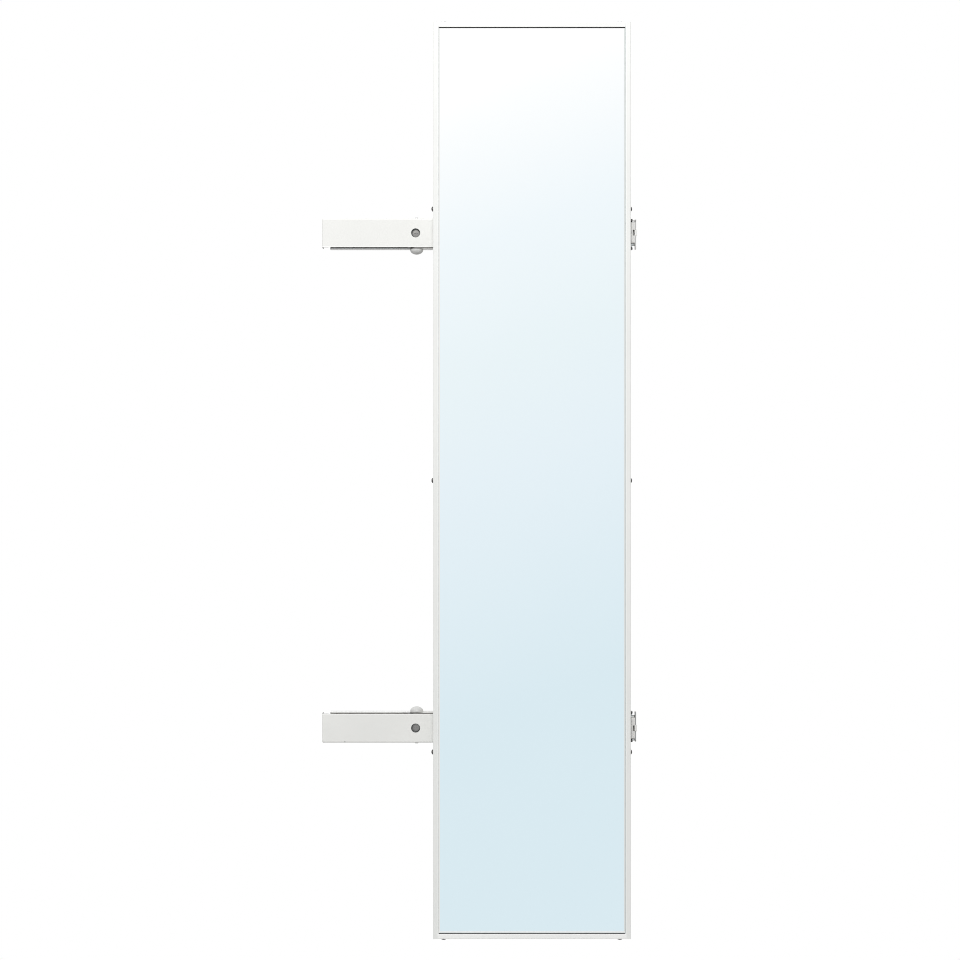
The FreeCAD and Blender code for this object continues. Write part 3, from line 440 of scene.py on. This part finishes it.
FINISH = {
    "frame_white": lacquer("frame_lacquer", (0.872, 0.878, 0.862), 0.36),
    "bracket_white": lacquer("bracket_lacquer", (0.872, 0.872, 0.850), 0.40, painted_light_and_bare_end=True),
    "rail_zinc": zinc("rail_plating", (0.705, 0.692, 0.676), 0.34, lip=True),
    "rail_middle": zinc("middle_rail_plating", (0.66, 0.665, 0.665), 0.36),
    "cage_steel": zinc("cage_plating", (0.60, 0.61, 0.60), 0.33),
    "ball_steel": zinc("ball_polish", (0.72, 0.72, 0.73), 0.12),
    "bumper_nylon": plastic("bumper_nylon", (0.93, 0.93, 0.915), 0.45, sss=0.1, slot=True),
    "bracket_hardware": zinc("hardware_plating", (0.66, 0.665, 0.67), 0.27),
    "zinc_casting": casting("block_casting", (0.40, 0.40, 0.395)),
    "friction_screw_zinc": zinc("friction_screw_plating", (0.310, 0.301, 0.290), 0.56),
    "pin_steel": zinc("pin_polish", (0.68, 0.68, 0.68), 0.18, grain_along="z"),
    "dome_nylon": plastic("dome_nylon", (0.635, 0.637, 0.628), 0.34, sss=0.08),
    "bush_nylon": plastic("bush_nylon", (0.62, 0.62, 0.60), 0.45, sss=0.08),
    "arm_white": cut_sheet("arm_lacquer", (0.885, 0.885, 0.860), 0.40, (0.335, 0.328, 0.315)),
    "plug_plastic": plastic("plug_plastic", (0.80, 0.80, 0.785), 0.46),
    "connector_plastic": plastic("connector_plastic", (0.13, 0.13, 0.132), 0.5),
    "cross_rail_steel": zinc("cross_rail_plating", (0.66, 0.665, 0.665), 0.37),
    "mirror_silver": silvered("mirror_silver"),
    "board": board("backing_hardboard"),
    "tape": plastic("foam_tape", (0.70, 0.70, 0.68), 0.7, grain=0.3),
    "gasket_grey": rubber("gasket_grey", (0.785, 0.80, 0.79), 0.05),
    "gasket_black": rubber("gasket_black", (0.015, 0.015, 0.015), spec=0.2),
    "screw_dark": zinc("dark_screw_plating", (0.135, 0.132, 0.128), 0.35),
    "screw_zinc": zinc("screw_plating", (0.66, 0.665, 0.67), 0.28),
    "buffer_rubber": rubber("buffer_rubber", (0.05, 0.05, 0.052)),
}
OWN = {
    # the right gasket: a darker copy of the grey gasket, painted shade
    "right_gasket": rubber("gasket_grey_right_painted_shade", (0.635, 0.67, 0.663), 0.05),
    # the bottom gasket: a lighter copy of the black gasket, painted light
    "bottom_gasket": rubber("gasket_black_bottom_painted_light", (0.075, 0.077, 0.077), 0.3),
    "left_stile": lacquer("stile_lacquer", (0.872, 0.878, 0.862), 0.36, stile=True),
    # the bottom member: a whiter, glossier copy of the frame lacquer, painted light
    "bottom_member": lacquer("bottom_lacquer_painted_light", (0.985, 0.982, 0.968), 0.32, coat=1.0, member=True),
    "top_member": lacquer("top_lacquer", (0.872, 0.878, 0.862), 0.36, member=True),
    # the top screws: a lighter copy of the screw plating, painted light
    "top_screws": zinc("top_screw_plating_painted_light", (0.86, 0.86, 0.855), 0.30),
}
OWN["right_stile"] = OWN["left_stile"]
for name, node in NODES.items():
    for s in node.material_slots:
        s.material = OWN.get(name) or FINISH[s.material.name]


# ---------------------------------------------------------------- studio
def studio_floor():
    """A round pale floor, well below the mirror's lower edge, as if the part hangs in its place on a panel."""
    bpy.ops.mesh.primitive_circle_add(
        vertices=128, radius=1.45, fill_type="NGON", location=(0, 0, -1.22)
    )
    floor = bpy.context.object
    floor.name = "studio_floor"
    m = Mat("studio_floor")
    cloud = m.noise(3.0, 3, 0.5)
    m.set(color=m.mix(cloud, (0.59, 0.59, 0.586), (0.565, 0.565, 0.565)), rough=0.7)
    floor.data.materials.append(m.done())


def studio_world():
    """White room. Plain white behind the object, an even soft fill, and for the reflections a
    pale sweep: white to faint blue straight in front of the object, neutral everywhere else."""
    w = bpy.data.worlds.new("studio")
    scene.world = w
    w.use_nodes = True
    t = w.node_tree
    t.nodes.clear()
    out = t.nodes.new("ShaderNodeOutputWorld")
    co = t.nodes.new("ShaderNodeTexCoord").outputs["Generated"]
    sep = t.nodes.new("ShaderNodeSeparateXYZ")
    t.links.new(co, sep.inputs[0])
    dx, dy, dz = sep.outputs

    def m(op, a, b=None):
        n = t.nodes.new("ShaderNodeMath")
        n.operation = op
        for i, v in enumerate((a, b)):
            if v is None:
                continue
            if isinstance(v, bpy.types.NodeSocket):
                t.links.new(v, n.inputs[i])
            else:
                n.inputs[i].default_value = v
        return n.outputs[0]

    def ramp(value, stops):
        r = t.nodes.new("ShaderNodeValToRGB")
        t.links.new(value, r.inputs[0])
        cr = r.color_ramp
        cr.elements[0].position, cr.elements[0].color = stops[0][0], (*stops[0][1], 1)
        cr.elements[1].position, cr.elements[1].color = stops[-1][0], (*stops[-1][1], 1)
        for pos, c in stops[1:-1]:
            cr.elements.new(pos).color = (*c, 1)
        return r.outputs[0]

    def blend(factor, a, b):
        n = t.nodes.new("ShaderNodeMix")
        n.data_type = "RGBA"
        t.links.new(factor, n.inputs[0])
        t.links.new(a, n.inputs[6])
        t.links.new(b, n.inputs[7])
        return n.outputs[2]

    height = m("ADD", dz, m("MULTIPLY", dx, -0.37))
    front = ramp(
        m("ADD", m("MULTIPLY", height, 2.0), 0.5),
        [
            (0.10, (0.688, 0.812, 0.870)),
            (0.30, (0.688, 0.812, 0.870)),
            (0.50, (0.783, 0.868, 0.918)),
            (0.60, (0.812, 0.892, 0.922)),
            (0.70, (0.865, 0.925, 0.958)),
            (0.83, (1.0, 1.0, 1.0)),
        ],
    )
    room = ramp(
        m("ADD", m("ADD", m("MULTIPLY", dz, 0.5), 0.5), m("MULTIPLY", dx, -0.15)),
        [
            (0.0, (0.60, 0.60, 0.59)),
            (0.30, (0.69, 0.69, 0.685)),
            (0.52, (0.77, 0.77, 0.765)),
            (0.72, (0.905, 0.915, 0.92)),
            (1.0, (0.935, 0.945, 0.95)),
        ],
    )
    ahead = t.nodes.new("ShaderNodeMapRange")
    ahead.interpolation_type = "SMOOTHSTEP"
    ahead.inputs["From Min"].default_value = -0.90
    ahead.inputs["From Max"].default_value = -0.975
    t.links.new(dy, ahead.inputs["Value"])
    fill = ramp(
        m("ADD", m("MULTIPLY", dz, 0.5), 0.5),
        [
            (0.0, (0.42, 0.418, 0.412)),
            (0.5, (0.42, 0.419, 0.414)),
            (1.0, (1.0, 1.0, 0.995)),
        ],
    )

    def background(color, strength):
        b = t.nodes.new("ShaderNodeBackground")
        if isinstance(color, bpy.types.NodeSocket):
            t.links.new(color, b.inputs[0])
        else:
            b.inputs[0].default_value = (*color, 1)
        b.inputs[1].default_value = strength
        return b.outputs[0]

    def either(factor, a, b):
        n = t.nodes.new("ShaderNodeMixShader")
        t.links.new(factor, n.inputs[0])
        t.links.new(a, n.inputs[1])
        t.links.new(b, n.inputs[2])
        return n.outputs[0]

    path = t.nodes.new("ShaderNodeLightPath")
    seen = either(
        path.outputs["Is Glossy Ray"],
        background(fill, 1.0),
        background(blend(ahead.outputs["Result"], room, front), 1.03),
    )
    seen = either(path.outputs["Is Camera Ray"], seen, background((1, 1, 1), 1.0))
    t.links.new(seen, out.inputs[0])


def area(name, place, aim, size, power, color=(1, 1, 1)):
    d = bpy.data.lights.new(name, "AREA")
    d.shape = "RECTANGLE"
    d.size, d.size_y = size
    d.energy = power
    d.color = color
    o = bpy.data.objects.new(name, d)
    scene.collection.objects.link(o)
    o.location = place
    o.rotation_euler = (
        (Vector(aim) - Vector(place)).to_track_quat("-Z", "Y").to_euler()
    )
    o.visible_camera = False
    return o


studio_floor()
studio_world()
area("key_high", (-0.35, -2.0, 1.5), (0.05, 0, 0.1), (2.2, 0.8), 34)
lamp = area("slide_end_lamp", (1.3, -1.9, 1.0), (0.24, 0, 0), (0.5, 0.9), 8.5)
ends = bpy.data.collections.new("slide_ends")
for name in ("upper_rail_bumper", "lower_rail_bumper"):
    ends.objects.link(NODES[name])
lamp.light_linking.receiver_collection = ends

cam_data = bpy.data.cameras.new("camera")
cam_data.sensor_width = 36.0
cam_data.lens = 2370.7 / 960 * 36.0
cam_data.clip_start, cam_data.clip_end = 0.05, 40
cam = bpy.data.objects.new("camera", cam_data)
scene.collection.objects.link(cam)
cam.location = (0.0108, -3.5535, 0.00074)
cam.rotation_euler = (math.radians(90), 0, 0)
scene.camera = cam

scene.view_settings.view_transform = "Standard"
scene.view_settings.look = "None"
scene.view_settings.exposure = 0.0
scene.view_settings.gamma = 1.0
scene.cycles.use_denoising = True
scene.cycles.filter_width = 1.0
